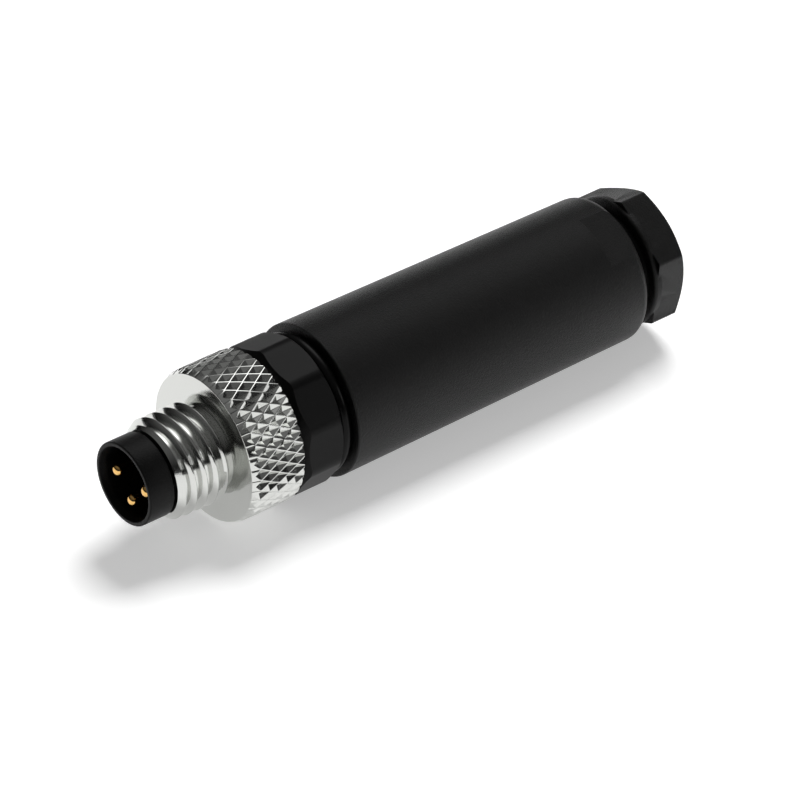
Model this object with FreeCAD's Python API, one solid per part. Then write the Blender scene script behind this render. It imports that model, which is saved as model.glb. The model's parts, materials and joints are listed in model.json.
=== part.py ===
import FreeCAD, Part
import math
import os

from FreeCAD import Vector

os.makedirs("parts", exist_ok=True)

# A three-pin M8 cable plug, in millimetres. It stands on the rear face of its gland nut with the
# pins up. Z is the axis of every turned piece. Azimuths are degrees about Z, counted from +X.

# Contacts
pin_radius = 0.5
pin_tip_round = 0.42
pin_recess = 0.45
pin_circle_radius = 1.77
pin_azimuths = {"1": 48.6, "4": 138.6, "3": 228.6}
pin_shoulder = 0.05
terminal_wire_radius = 0.5
terminal_wire_depth = 4.5
terminal_wall = 0.55
terminal_length = 9.8
contact_fit = 0.02

# Contact carrier
carrier_wall = 0.63
carrier_flat_azimuth = 318.6
carrier_flat_depth = 0.45
carrier_flat_length = 3.0
carrier_tail_length = 0.7
carrier_seal_section = 0.5
carrier_seal_height = 1.6
carrier_seal_fit = 0.05
nose_length = 2.2
nose_wall = 0.5
nose_edge_round = 0.12
nose_rim_wall = 0.33
nose_lead_in_length = 0.6
nose_cavity_gap = 0.58
nose_cavity_depth = 5.6
running_fit = 0.05

# Retaining ring behind the collar's web
clip_thickness = 0.6
clip_groove_depth = 0.4
clip_overhang = 0.6
clip_opening = 55.0
clip_fit = 0.05

# Coupling screw
screw_length = 9.8
screw_neck_wall = 0.35
screw_thread_depth = 0.65
screw_thread_length = 4.15
screw_lead_in_depth = 0.6
screw_shoulder_inset = 0.28
screw_shoulder_chamfer_length = 0.55
screw_knurl_inset = 0.06
screw_knurl_length = 4.3
screw_rear_chamfer = 0.12
screw_counterbore_depth = 3.7
screw_rear_play = 0.05
screw_front_play = 0.25

# Diamond knurl rolled into the coupling screw, as pits between two crossing sets of ridges
knurl_diamonds_round = 40
knurl_ridge_angle = 30.0
knurl_depth = 0.3
knurl_ridge_half_width = 0.045
knurl_azimuth = 0.33
knurl_first_row_inset = 0.175
knurl_tool_reach = 0.1

# Housing collar
collar_boss_wall = 1.2
collar_boss_length = 3.4
collar_boss_round = 0.4
collar_pocket_gap = 0.35
collar_pocket_depth = 4.7
collar_neck_wall = 1.0
collar_neck_length = 5.9
collar_seal_land_length = 1.35
collar_sides = 10
collar_length = 3.75
collar_azimuth = -4.0
collar_flat_inset = 0.355
collar_front_inset = 0.88
collar_rear_inset = 0.38

# Threads between the sleeve and what screws into it, shown as their outer diameter
body_thread_clearance = 0.07
thread_lead_in = 0.4

# Seal ring between the collar and the sleeve
ring_section = 1.1
ring_side_gap = 0.025
ring_fit = 0.05

# Sleeve
wire_room_length = 3.8
sleeve_wall = 1.16
sleeve_taper = 0.26
sleeve_rear_round = 0.75
sleeve_front_round = 0.15
sleeve_cavity_step = 0.32
sleeve_chamber_step = 0.62
sleeve_front_thread_length = 5.6
sleeve_rear_thread_length = 6.5
sleeve_web_length = 1.1
sleeve_web_height = 1.3
sleeve_wrench_flat_depth = 0.42
sleeve_wrench_flat_length = 3.0
sleeve_wrench_azimuth = -71.0

# Terminal block and its clamping screws
block_front_gap = 0.05
block_cavity_gap = 0.35
block_front_wall = 0.7
block_rear_round = 0.3
block_flange_length = 0.6
block_flange_gap = 0.1
block_spigot_fit = 0.05
wire_funnel_flare = 0.7
wire_funnel_depth = 0.5
clamp_screw_radius = 0.7
clamp_screw_height = 2.4
clamp_screw_slot_width = 0.3
clamp_screw_slot_depth = 0.4
clamp_screw_head_depth = 0.3
clamp_hole_fit = 0.05

# Cable seal and clamping cage behind the sleeve's web
seal_fit = 0.05
seal_wall = 2.6
seal_funnel_depth = 0.85
seal_length = 3.9
cage_wall = 1.35
cage_tip_wall = 0.6
cage_ring_length = 1.0
cage_finger_length = 3.0
cage_finger_count = 8
cage_slot_width = 0.6

# Pinch ring in the gland nut
pinch_ring_length = 2.4
pinch_ring_wall = 1.2
pinch_ring_lip = 0.25
pinch_ring_fit = 0.05

# Gland nut
nut_flat_inset = 0.92
nut_face_inset = 0.15
nut_edge_chamfer_angle = 30.0
nut_hex_length = 2.8
nut_hex_azimuth = 12.0
nut_flange_step = 0.35
nut_flange_length = 0.35
nut_relief_depth = 0.5
nut_relief_length = 1.25
nut_shank_length = 6.4
nut_shank_wall = 0.8
nut_bore_step = 0.2
nut_mouth_round = 0.6
nut_open_gap = 1.0

# Radii, from the contacts outwards
pin_body_radius = pin_radius + pin_shoulder
terminal_radius = terminal_wire_radius + terminal_wall
nose_cavity_radius = pin_circle_radius + pin_radius + nose_cavity_gap
nose_radius = nose_cavity_radius + nose_wall
nose_rim_inner_radius = nose_radius - nose_rim_wall
carrier_shank_radius = pin_circle_radius + pin_body_radius + carrier_wall
carrier_flat_distance = carrier_shank_radius - carrier_flat_depth
shank_bore_radius = carrier_shank_radius + running_fit
screw_relief_radius = shank_bore_radius + screw_neck_wall
screw_thread_radius = screw_relief_radius + screw_thread_depth
screw_lead_in_radius = screw_thread_radius - screw_lead_in_depth
clip_groove_radius = carrier_shank_radius - clip_groove_depth
clip_radius = shank_bore_radius + clip_overhang
collar_boss_radius = shank_bore_radius + collar_boss_wall
collar_pocket_radius = clip_radius + collar_pocket_gap
body_thread_radius = collar_pocket_radius + collar_neck_wall
body_thread_bore_radius = body_thread_radius + body_thread_clearance
seal_land_radius = body_thread_radius - thread_lead_in
barrel_radius = body_thread_bore_radius + sleeve_wall
collar_across_flats = 2 * (barrel_radius - collar_flat_inset)
screw_knurl_radius = barrel_radius - screw_knurl_inset
screw_shoulder_radius = barrel_radius - screw_shoulder_inset
sleeve_rear_radius = barrel_radius - sleeve_taper
wrench_flat_distance = sleeve_rear_radius - sleeve_wrench_flat_depth
cavity_radius = body_thread_bore_radius - sleeve_cavity_step
block_radius = cavity_radius - block_cavity_gap
block_flange_radius = cavity_radius - block_flange_gap
chamber_radius = body_thread_bore_radius - sleeve_chamber_step
seal_radius = chamber_radius - seal_fit
seal_bore_radius = seal_radius - seal_wall
seal_mouth_radius = seal_bore_radius + seal_funnel_depth
nut_ring_bore_radius = body_thread_radius - nut_shank_wall
pinch_ring_radius = nut_ring_bore_radius - pinch_ring_fit
pinch_ring_bore_radius = pinch_ring_radius - pinch_ring_wall
nut_cable_bore_radius = pinch_ring_bore_radius - nut_bore_step
cage_bore_radius = pinch_ring_radius - cage_wall
nut_across_flats = 2 * (sleeve_rear_radius - nut_flat_inset)

# Stations along the axis, from the standing face up to the tip
nut_flange_top = nut_hex_length + nut_flange_length
sleeve_rear = nut_flange_top + nut_open_gap
cage_length = sleeve_rear_thread_length + cage_ring_length
web_end = cage_length + seal_length + seal_fit + sleeve_web_length
block_length = wire_funnel_depth + terminal_length + block_front_wall
clip_length = clip_thickness + 2 * clip_fit
pocket_length = clip_length + carrier_tail_length + block_front_gap + block_length
seal_gap_length = ring_section + 2 * ring_side_gap
block_depth = collar_neck_length - collar_pocket_depth - seal_gap_length + pocket_length
sleeve_length = web_end + wire_room_length + block_depth
sleeve_front = sleeve_rear + sleeve_length
collar_rear = sleeve_front + seal_gap_length
collar_front = collar_rear + collar_length
screw_rear = collar_front + screw_rear_play
screw_front = screw_rear + screw_length
nose_rear = screw_front + screw_front_play
tip = nose_rear + nose_length

# Places that several pieces share
collar_neck_end = collar_rear - collar_neck_length
collar_web_rear = collar_neck_end + collar_pocket_depth
boss_front = collar_front + collar_boss_length
clip_front = collar_web_rear - clip_fit
clip_rear = clip_front - clip_thickness
carrier_end = clip_rear - clip_fit - carrier_tail_length
block_front = carrier_end - block_front_gap
block_rear = block_front - block_length
block_flange_front = collar_neck_end - block_front_gap
terminal_rear = block_rear + wire_funnel_depth
terminal_front = terminal_rear + terminal_length
rear_thread_end = sleeve_rear + sleeve_rear_thread_length
cage_front = rear_thread_end + cage_ring_length
seal_front = cage_front + seal_length
web_rear = seal_front + seal_fit
cavity_rear = web_rear + sleeve_web_length
nut_seat = nut_flange_top + nut_relief_length
pinch_ring_rear = nut_seat + pinch_ring_fit


def turned(corners):
    """Solid of revolution about Z. Corners are (radius, z) or (radius, z, rounding)."""
    count = len(corners)
    points = [Vector(corner[0], 0, corner[1]) for corner in corners]
    starts = []
    ends = []
    middles = []
    for index, corner in enumerate(corners):
        here = points[index]
        rounding = corner[2] if len(corner) > 2 else 0
        back = (points[index - 1] - here).normalize()
        ahead = (points[(index + 1) % count] - here).normalize()
        half = back.getAngle(ahead) / 2
        reach = rounding / math.tan(half)
        starts.append(here + back * reach)
        ends.append(here + ahead * reach)
        inward = (back + ahead).normalize()
        middles.append(here + inward * (rounding / math.sin(half) - rounding))
    edges = []
    for index in range(count):
        if len(corners[index]) > 2:
            edges.append(Part.Arc(starts[index], middles[index], ends[index]).toShape())
        following = (index + 1) % count
        edges.append(Part.LineSegment(ends[index], starts[following]).toShape())
    face = Part.Face(Part.Wire(edges))
    return face.revolve(Vector(0, 0, 0), Vector(0, 0, 1), 360)


def cylinder(radius, bottom, top, x=0.0, y=0.0):
    return Part.makeCylinder(radius, top - bottom, Vector(x, y, bottom))


def prism(sides, across_flats, azimuth, bottom, top):
    """Upright prism on a regular polygon with one corner at the given azimuth."""
    corner_radius = across_flats / 2 / math.cos(math.pi / sides)
    corners = []
    for index in range(sides + 1):
        angle = math.radians(azimuth + 360.0 * index / sides)
        corners.append(Vector(corner_radius * math.cos(angle), corner_radius * math.sin(angle), bottom))
    return Part.Face(Part.makePolygon(corners)).extrude(Vector(0, 0, top - bottom))


def slab(azimuth, near, far, width, bottom, top):
    """Upright block that lies between two distances from the axis, square to an azimuth."""
    block = Part.makeBox(far - near, width, top - bottom, Vector(near, -width / 2, bottom))
    block.rotate(Vector(0, 0, 0), Vector(0, 0, 1), azimuth)
    return block


def radial_rod(azimuth, radius, near, far, height):
    """Round rod that points straight out from the axis."""
    rod = Part.makeCylinder(radius, far - near, Vector(near, 0, height), Vector(1, 0, 0))
    rod.rotate(Vector(0, 0, 0), Vector(0, 0, 1), azimuth)
    return rod


def ring_of_round_section(centre_radius, section, height):
    return Part.makeTorus(centre_radius, section / 2, Vector(0, 0, height), Vector(0, 0, 1))


def on_pin_circle(azimuth):
    angle = math.radians(azimuth)
    return pin_circle_radius * math.cos(angle), pin_circle_radius * math.sin(angle)


def save(shape, name):
    shape.exportStep(os.path.join("parts", name + ".step"))


def make_gland_nut():
    """Moulded hexagon head, a threaded shank that enters the sleeve, and the cable bore."""
    corner_radius = nut_across_flats / 2 / math.cos(math.pi / 6)
    face_radius = nut_across_flats / 2 - nut_face_inset
    chamfer_rise = (corner_radius - face_radius) * math.tan(math.radians(nut_edge_chamfer_angle))
    edge_cone = turned([
        (0, 0),
        (face_radius, 0),
        (corner_radius, chamfer_rise),
        (corner_radius, nut_hex_length),
        (0, nut_hex_length),
    ])
    head = prism(6, nut_across_flats, nut_hex_azimuth, 0, nut_hex_length).common(edge_cone)
    shank_front = nut_flange_top + nut_shank_length
    flange_radius = body_thread_radius + nut_flange_step
    relief_radius = body_thread_radius - nut_relief_depth
    shank = turned([
        (0, nut_hex_length),
        (flange_radius, nut_hex_length),
        (flange_radius, nut_flange_top),
        (relief_radius, nut_flange_top),
        (relief_radius, nut_seat),
        (body_thread_radius, nut_seat + thread_lead_in),
        (body_thread_radius, shank_front - thread_lead_in),
        (body_thread_radius - thread_lead_in, shank_front),
        (0, shank_front),
    ])
    hollow = turned([
        (0, -nut_mouth_round),
        (nut_cable_bore_radius + nut_mouth_round, -nut_mouth_round),
        (nut_cable_bore_radius + nut_mouth_round, 0),
        (nut_cable_bore_radius, nut_mouth_round),
        (nut_cable_bore_radius, nut_seat),
        (nut_ring_bore_radius, nut_seat),
        (nut_ring_bore_radius, shank_front),
        (0, shank_front),
    ])
    return head.fuse(shank).removeSplitter().cut(hollow)


def make_pinch_ring():
    """Loose ring in the nut whose cone presses the cage's finger tips onto the cable."""
    top = pinch_ring_rear + pinch_ring_length
    return turned([
        (pinch_ring_bore_radius, pinch_ring_rear),
        (pinch_ring_radius, pinch_ring_rear),
        (pinch_ring_radius, top),
        (pinch_ring_radius - pinch_ring_lip, top),
    ])


def make_sleeve():
    """Long moulded shell, slightly tapered, with a thread at each end and a web for the seal."""
    outside = turned([
        (0, sleeve_rear),
        (sleeve_rear_radius, sleeve_rear, sleeve_rear_round),
        (barrel_radius, sleeve_front, sleeve_front_round),
        (0, sleeve_front),
    ])
    flats_top = sleeve_rear + sleeve_wrench_flat_length
    for side in (0, 180):
        outside = outside.cut(slab(
            sleeve_wrench_azimuth + side,
            wrench_flat_distance,
            wrench_flat_distance + barrel_radius,
            2 * barrel_radius,
            sleeve_rear,
            flats_top,
        ))
    front_thread_end = sleeve_front - sleeve_front_thread_length
    web_bore_radius = chamber_radius - sleeve_web_height
    inside = turned([
        (0, sleeve_rear),
        (body_thread_bore_radius, sleeve_rear),
        (body_thread_bore_radius, rear_thread_end),
        (chamber_radius, rear_thread_end),
        (chamber_radius, web_rear),
        (web_bore_radius, web_rear),
        (web_bore_radius, cavity_rear),
        (cavity_radius, cavity_rear),
        (cavity_radius, front_thread_end),
        (body_thread_bore_radius, front_thread_end),
        (body_thread_bore_radius, sleeve_front),
        (0, sleeve_front),
    ])
    return outside.cut(inside)


def make_cable_seal():
    """Soft bush that is squeezed onto the cable, with a funnel at each end."""
    return turned([
        (seal_mouth_radius, cage_front),
        (seal_radius, cage_front),
        (seal_radius, seal_front),
        (seal_mouth_radius, seal_front),
        (seal_bore_radius, seal_front - seal_funnel_depth),
        (seal_bore_radius, cage_front + seal_funnel_depth),
    ])


def make_clamping_cage():
    """Ring that backs the seal, with springy fingers that point at the gland nut."""
    tips = rear_thread_end - cage_finger_length
    cage = turned([
        (cage_bore_radius, tips),
        (cage_bore_radius + cage_tip_wall, tips),
        (pinch_ring_radius, rear_thread_end),
        (seal_radius, rear_thread_end),
        (seal_radius, cage_front),
        (cage_bore_radius, cage_front),
    ])
    for index in range(cage_finger_count):
        azimuth = 360.0 * index / cage_finger_count
        cage = cage.cut(slab(azimuth, 0, seal_radius, cage_slot_width, tips, rear_thread_end))
    return cage


def make_housing_seal():
    """Rubber ring squeezed between the collar and the sleeve."""
    centre_radius = seal_land_radius + ring_fit + ring_section / 2
    height = sleeve_front + ring_side_gap + ring_section / 2
    return ring_of_round_section(centre_radius, ring_section, height)


def make_housing_collar():
    """Ten-sided grip, a boss that the coupling screw turns on, and the threaded neck."""
    corner_radius = collar_across_flats / 2 / math.cos(math.pi / collar_sides)
    front_radius = barrel_radius - collar_front_inset
    rear_radius = barrel_radius - collar_rear_inset
    edge_cones = turned([
        (0, collar_rear),
        (rear_radius, collar_rear),
        (corner_radius, collar_rear + corner_radius - rear_radius),
        (corner_radius, collar_front - corner_radius + front_radius),
        (front_radius, collar_front),
        (0, collar_front),
    ])
    grip = prism(collar_sides, collar_across_flats, collar_azimuth, collar_rear, collar_front)
    grip = grip.common(edge_cones)
    land_end = collar_rear - collar_seal_land_length
    core = turned([
        (0, collar_neck_end),
        (seal_land_radius, collar_neck_end),
        (body_thread_radius, collar_neck_end + thread_lead_in),
        (body_thread_radius, land_end - thread_lead_in),
        (seal_land_radius, land_end),
        (seal_land_radius, collar_rear),
        (collar_boss_radius, collar_rear),
        (collar_boss_radius, boss_front, collar_boss_round),
        (0, boss_front),
    ])
    hollow = turned([
        (0, collar_neck_end),
        (collar_pocket_radius, collar_neck_end),
        (collar_pocket_radius, collar_web_rear),
        (shank_bore_radius, collar_web_rear),
        (shank_bore_radius, boss_front),
        (0, boss_front),
    ])
    key_flat = slab(
        carrier_flat_azimuth,
        carrier_flat_distance + running_fit,
        collar_pocket_radius,
        2 * collar_pocket_radius,
        collar_web_rear,
        collar_web_rear + carrier_flat_length,
    )
    return grip.fuse(core).removeSplitter().cut(hollow.cut(key_flat))


def make_knurl_pit(half_width, half_height):
    """Four-sided point that sinks one diamond of the knurl, at azimuth 0 and height 0."""
    out = screw_knurl_radius + knurl_tool_reach
    growth = 1 + knurl_tool_reach / knurl_depth
    y = (half_width - knurl_ridge_half_width) * growth
    z = y * half_height / half_width
    apex = Vector(screw_knurl_radius - knurl_depth, 0, 0)
    corners = [Vector(out, y, 0), Vector(out, 0, z), Vector(out, -y, 0), Vector(out, 0, -z)]
    faces = [Part.Face(Part.makePolygon(corners + corners[:1]))]
    for index, corner in enumerate(corners):
        following = corners[(index + 1) % len(corners)]
        faces.append(Part.Face(Part.makePolygon([corner, following, apex, corner])))
    pit = Part.Solid(Part.Shell(faces))
    if pit.Volume < 0:
        pit.reverse()
    return pit


def make_knurl_pits(shoulder):
    """All diamonds of the knurl, in rows that are each turned half a diamond from the next."""
    pitch = 360.0 / knurl_diamonds_round
    half_width = math.pi * screw_knurl_radius / knurl_diamonds_round
    half_height = half_width / math.tan(math.radians(knurl_ridge_angle))
    pit = make_knurl_pit(half_width, half_height)
    first_row = screw_rear + screw_knurl_length - knurl_first_row_inset
    rows_above = math.ceil((shoulder - first_row) / half_height)
    rows_below = math.ceil((first_row - screw_rear) / half_height)
    pits = []
    for row in range(-rows_below, rows_above + 1):
        for step in range(knurl_diamonds_round):
            copy = pit.copy()
            turn = knurl_azimuth + (step + 0.5 * (row % 2)) * pitch
            copy.rotate(Vector(0, 0, 0), Vector(0, 0, 1), turn)
            copy.translate(Vector(0, 0, first_row + row * half_height))
            pits.append(copy)
    return pits


def make_coupling_screw():
    """Turned and knurled screw that spins on the collar's boss and draws the plug into its socket."""
    knurl_front = screw_rear + screw_knurl_length
    shoulder = knurl_front + screw_shoulder_chamfer_length
    thread_rear = screw_front - screw_thread_length
    lead_in = screw_lead_in_depth
    counterbore_radius = collar_boss_radius + running_fit
    counterbore_end = screw_rear + screw_counterbore_depth
    blank = turned([
        (counterbore_radius, screw_rear),
        (screw_knurl_radius - screw_rear_chamfer, screw_rear),
        (screw_knurl_radius, screw_rear + screw_rear_chamfer),
        (screw_knurl_radius, knurl_front),
        (screw_shoulder_radius, shoulder),
        (screw_relief_radius, shoulder),
        (screw_relief_radius, thread_rear - lead_in),
        (screw_thread_radius, thread_rear),
        (screw_thread_radius, screw_front - lead_in),
        (screw_lead_in_radius, screw_front),
        (shank_bore_radius, screw_front),
        (shank_bore_radius, counterbore_end),
        (counterbore_radius, counterbore_end),
    ])
    return blank.cut(make_knurl_pits(shoulder))


def make_contact_carrier():
    """Moulded insert: the open nose round the pins and the shank that locks in the collar."""
    cavity_floor = tip - nose_cavity_depth
    seal_top = collar_front + carrier_seal_height + carrier_seal_section / 2 + carrier_seal_fit
    seal_bottom = seal_top - carrier_seal_section - 2 * carrier_seal_fit
    seal_land = shank_bore_radius - carrier_seal_section
    carrier = turned([
        (0, carrier_end),
        (carrier_shank_radius, carrier_end),
        (carrier_shank_radius, clip_rear - clip_fit),
        (clip_groove_radius, clip_rear - clip_fit),
        (clip_groove_radius, clip_front + clip_fit),
        (carrier_shank_radius, clip_front + clip_fit),
        (carrier_shank_radius, seal_bottom),
        (seal_land, seal_bottom),
        (seal_land, seal_top),
        (carrier_shank_radius, seal_top),
        (carrier_shank_radius, nose_rear),
        (nose_radius, nose_rear),
        (nose_radius, tip, nose_edge_round),
        (nose_rim_inner_radius, tip),
        (nose_cavity_radius, tip - nose_lead_in_length),
        (nose_cavity_radius, cavity_floor),
        (0, cavity_floor),
    ])
    carrier = carrier.cut(slab(
        carrier_flat_azimuth,
        carrier_flat_distance,
        2 * carrier_shank_radius,
        2 * carrier_shank_radius,
        carrier_end,
        collar_web_rear + carrier_flat_length,
    ))
    for azimuth in pin_azimuths.values():
        x, y = on_pin_circle(azimuth)
        carrier = carrier.cut(cylinder(pin_body_radius + contact_fit, carrier_end, cavity_floor, x, y))
    return carrier


def make_carrier_seal():
    """Rubber ring in the shank's groove that seals it in the collar."""
    centre_radius = shank_bore_radius - carrier_seal_section / 2
    return ring_of_round_section(centre_radius, carrier_seal_section, collar_front + carrier_seal_height)


def make_retaining_ring():
    """Open spring ring in the shank's groove, behind the collar's web."""
    ring = cylinder(clip_radius, clip_rear, clip_front)
    ring = ring.cut(cylinder(clip_groove_radius + clip_fit, clip_rear, clip_front))
    reach = 2 * clip_radius
    mouth = [Vector(0, 0, clip_rear)]
    for side in (-0.5, 0.5):
        angle = math.radians(carrier_flat_azimuth + side * clip_opening)
        mouth.append(Vector(reach * math.cos(angle), reach * math.sin(angle), clip_rear))
    mouth.append(mouth[0])
    opening = Part.Face(Part.makePolygon(mouth)).extrude(Vector(0, 0, clip_thickness))
    return ring.cut(opening)


def make_contact(azimuth):
    """Turned contact: the round-nosed pin, its body in the carrier and the wire terminal."""
    x, y = on_pin_circle(azimuth)
    pin_tip = tip - pin_recess
    cavity_floor = tip - nose_cavity_depth
    contact = turned([
        (0, terminal_rear),
        (terminal_radius, terminal_rear),
        (terminal_radius, terminal_front),
        (pin_body_radius, terminal_front),
        (pin_body_radius, cavity_floor - pin_radius),
        (pin_radius, cavity_floor),
        (pin_radius, pin_tip, pin_tip_round),
        (0, pin_tip),
    ])
    contact.translate(Vector(x, y, 0))
    contact = contact.cut(cylinder(
        terminal_wire_radius, terminal_rear, terminal_rear + terminal_wire_depth, x, y,
    ))
    screw_hole = radial_rod(
        azimuth,
        clamp_screw_radius + clamp_hole_fit,
        pin_circle_radius,
        pin_circle_radius + terminal_radius,
        terminal_rear + clamp_screw_height,
    )
    return contact.cut(screw_hole)


def make_clamp_screw(azimuth):
    """Slotted grub screw that presses the wire in its terminal."""
    near = pin_circle_radius + terminal_wire_radius
    far = block_radius - clamp_screw_head_depth
    height = terminal_rear + clamp_screw_height
    screw = radial_rod(azimuth, clamp_screw_radius, near, far, height)
    slot = slab(
        azimuth,
        far - clamp_screw_slot_depth,
        far,
        clamp_screw_slot_width,
        height - clamp_screw_radius,
        height + clamp_screw_radius,
    )
    return screw.cut(slot)


def make_terminal_block():
    """Moulded block that carries the terminals, plugged into the collar's neck."""
    spigot_radius = collar_pocket_radius - block_spigot_fit
    block = turned([
        (0, block_rear),
        (block_radius, block_rear, block_rear_round),
        (block_radius, block_flange_front - block_flange_length),
        (block_flange_radius, block_flange_front - block_flange_length),
        (block_flange_radius, block_flange_front),
        (spigot_radius, block_flange_front),
        (spigot_radius, block_front),
        (0, block_front),
    ])
    for azimuth in pin_azimuths.values():
        x, y = on_pin_circle(azimuth)
        terminal_hole = terminal_radius + contact_fit
        block = block.cut(cylinder(terminal_hole, terminal_rear, terminal_front, x, y))
        block = block.cut(cylinder(pin_body_radius + contact_fit, terminal_front, block_front, x, y))
        block = block.cut(Part.makeCone(
            terminal_wire_radius + wire_funnel_flare,
            terminal_wire_radius,
            wire_funnel_depth,
            Vector(x, y, block_rear),
        ))
        block = block.cut(radial_rod(
            azimuth,
            clamp_screw_radius + clamp_hole_fit,
            pin_circle_radius,
            pin_circle_radius + block_radius,
            terminal_rear + clamp_screw_height,
        ))
    return block


save(make_gland_nut(), "gland_nut")
save(make_pinch_ring(), "pinch_ring")
save(make_sleeve(), "sleeve")
save(make_cable_seal(), "cable_seal")
save(make_clamping_cage(), "clamping_cage")
save(make_housing_seal(), "housing_seal")
save(make_housing_collar(), "housing_collar")
save(make_coupling_screw(), "coupling_screw")
save(make_contact_carrier(), "contact_carrier")
save(make_carrier_seal(), "carrier_seal")
save(make_retaining_ring(), "retaining_ring")
save(make_terminal_block(), "terminal_block")
for number, pin_azimuth in pin_azimuths.items():
    save(make_contact(pin_azimuth), "contact_" + number)
    save(make_clamp_screw(pin_azimuth), "clamp_screw_" + number)
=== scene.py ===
import json
import math

import bmesh
import bpy
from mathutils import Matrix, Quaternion, Vector

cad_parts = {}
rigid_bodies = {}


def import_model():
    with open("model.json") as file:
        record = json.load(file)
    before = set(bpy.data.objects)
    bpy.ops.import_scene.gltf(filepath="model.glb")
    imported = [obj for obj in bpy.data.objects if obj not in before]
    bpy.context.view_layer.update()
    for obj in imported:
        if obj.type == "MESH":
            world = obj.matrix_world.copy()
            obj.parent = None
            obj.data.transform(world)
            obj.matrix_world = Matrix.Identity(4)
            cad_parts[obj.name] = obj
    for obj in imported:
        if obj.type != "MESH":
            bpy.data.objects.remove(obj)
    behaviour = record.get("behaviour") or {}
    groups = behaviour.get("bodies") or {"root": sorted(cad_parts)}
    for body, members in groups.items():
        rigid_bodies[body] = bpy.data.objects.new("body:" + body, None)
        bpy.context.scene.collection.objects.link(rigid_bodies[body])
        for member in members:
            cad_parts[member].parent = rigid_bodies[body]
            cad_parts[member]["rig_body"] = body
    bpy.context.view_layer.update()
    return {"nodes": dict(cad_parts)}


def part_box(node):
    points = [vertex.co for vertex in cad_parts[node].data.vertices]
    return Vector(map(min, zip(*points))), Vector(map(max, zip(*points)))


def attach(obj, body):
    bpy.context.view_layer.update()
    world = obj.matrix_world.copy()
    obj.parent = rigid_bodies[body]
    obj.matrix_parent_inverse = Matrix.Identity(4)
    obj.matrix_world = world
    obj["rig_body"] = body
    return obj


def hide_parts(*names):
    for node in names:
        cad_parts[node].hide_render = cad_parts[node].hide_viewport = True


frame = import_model()


# Contacts: three turned brass pins with domed tips, gold plated, pressed through the carrier.
# Behind the carrier each one widens into a terminal with a wire bore and a screw hole. Every size
# in this file is in millimetres.
MM = 0.001
WELD_DISTANCE = 0.001
SAME_PLACE = 0.002
ROUND_SEGMENTS = 6
BODY_SIDES = 192
PIN_SIDES = 48
PIN_SHADING_ANGLE = 40.0
PIN_RADIUS = 0.5
PIN_TIP_ROUND = 0.42
PIN_BODY_RADIUS = 0.55
PIN_LENGTH = 5.15
TERMINAL_RADIUS = 1.05
TERMINAL_LENGTH = 9.8
TERMINAL_EDGE_ROUND = 0.1
WIRE_BORE_RADIUS = 0.5
WIRE_BORE_DEPTH = 4.5
PIN_AZIMUTHS = {"contact_1": 48.6, "contact_4": 138.6, "contact_3": 228.6}
PIN_CIRCLE_RADIUS = 1.77
SCREW_HOLE_RADIUS = 0.75
SCREW_HOLE_HEIGHT = 2.4


def top_of(node):
    """Height of a node's top in millimetres."""
    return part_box(node)[1].z / MM


def bottom_of(node):
    """Height of a node's underside in millimetres."""
    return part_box(node)[0].z / MM


def linear(colour):
    """Linear RGBA of an sRGB hex colour."""
    channels = [int(colour[i:i + 2], 16) / 255 for i in (1, 3, 5)]
    return [c / 12.92 if c <= 0.04045 else ((c + 0.055) / 1.055) ** 2.4 for c in channels] + [1.0]


def add_node(tree, kind, values=None, links=None, **settings):
    """One shader node with its settings, its input values and its links."""
    node = tree.nodes.new(kind)
    for name, value in settings.items():
        setattr(node, name, value)
    for name, value in (values or {}).items():
        node.inputs[name].default_value = value
    for name, source in (links or {}).items():
        tree.links.new(source, node.inputs[name])
    return node


def new_material(name, colour, roughness, metallic=0.0, specular=0.5):
    """Material with a Principled shader; returns the material, its tree and that shader."""
    material = bpy.data.materials.new(name)
    material.use_nodes = True
    tree = material.node_tree
    shader = tree.nodes["Principled BSDF"]
    shader.inputs["Base Color"].default_value = linear(colour)
    shader.inputs["Roughness"].default_value = roughness
    shader.inputs["Metallic"].default_value = metallic
    shader.inputs["Specular IOR Level"].default_value = specular
    return material, tree, shader


def round_the_axis(tree):
    """Coordinates that are the same all round Z: distance from the axis, height, and nothing."""
    place = add_node(tree, "ShaderNodeTexCoord")
    parts = add_node(tree, "ShaderNodeSeparateXYZ", links={"Vector": place.outputs["Object"]})
    flat = add_node(tree, "ShaderNodeCombineXYZ", links={
        "X": parts.outputs["X"],
        "Y": parts.outputs["Y"],
    })
    radius = add_node(tree, "ShaderNodeVectorMath", links={
        "Vector": flat.outputs[0],
    }, operation="LENGTH")
    return add_node(tree, "ShaderNodeCombineXYZ", links={
        "X": radius.outputs["Value"],
        "Y": parts.outputs["Z"],
    }).outputs[0]


def add_relief(tree, shader, coordinates, width, depth, strength=1.0, detail=3.0, roughness=0.5):
    """Fine uneven relief of a surface. Its width and depth are in millimetres."""
    relief = add_node(tree, "ShaderNodeTexNoise", {
        "Scale": 1 / (width * MM),
        "Detail": detail,
        "Roughness": roughness,
    }, {"Vector": coordinates})
    bump = add_node(tree, "ShaderNodeBump", {"Strength": strength, "Distance": depth * MM}, {
        "Height": relief.outputs["Fac"],
    })
    tree.links.new(bump.outputs["Normal"], shader.inputs["Normal"])


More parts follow.
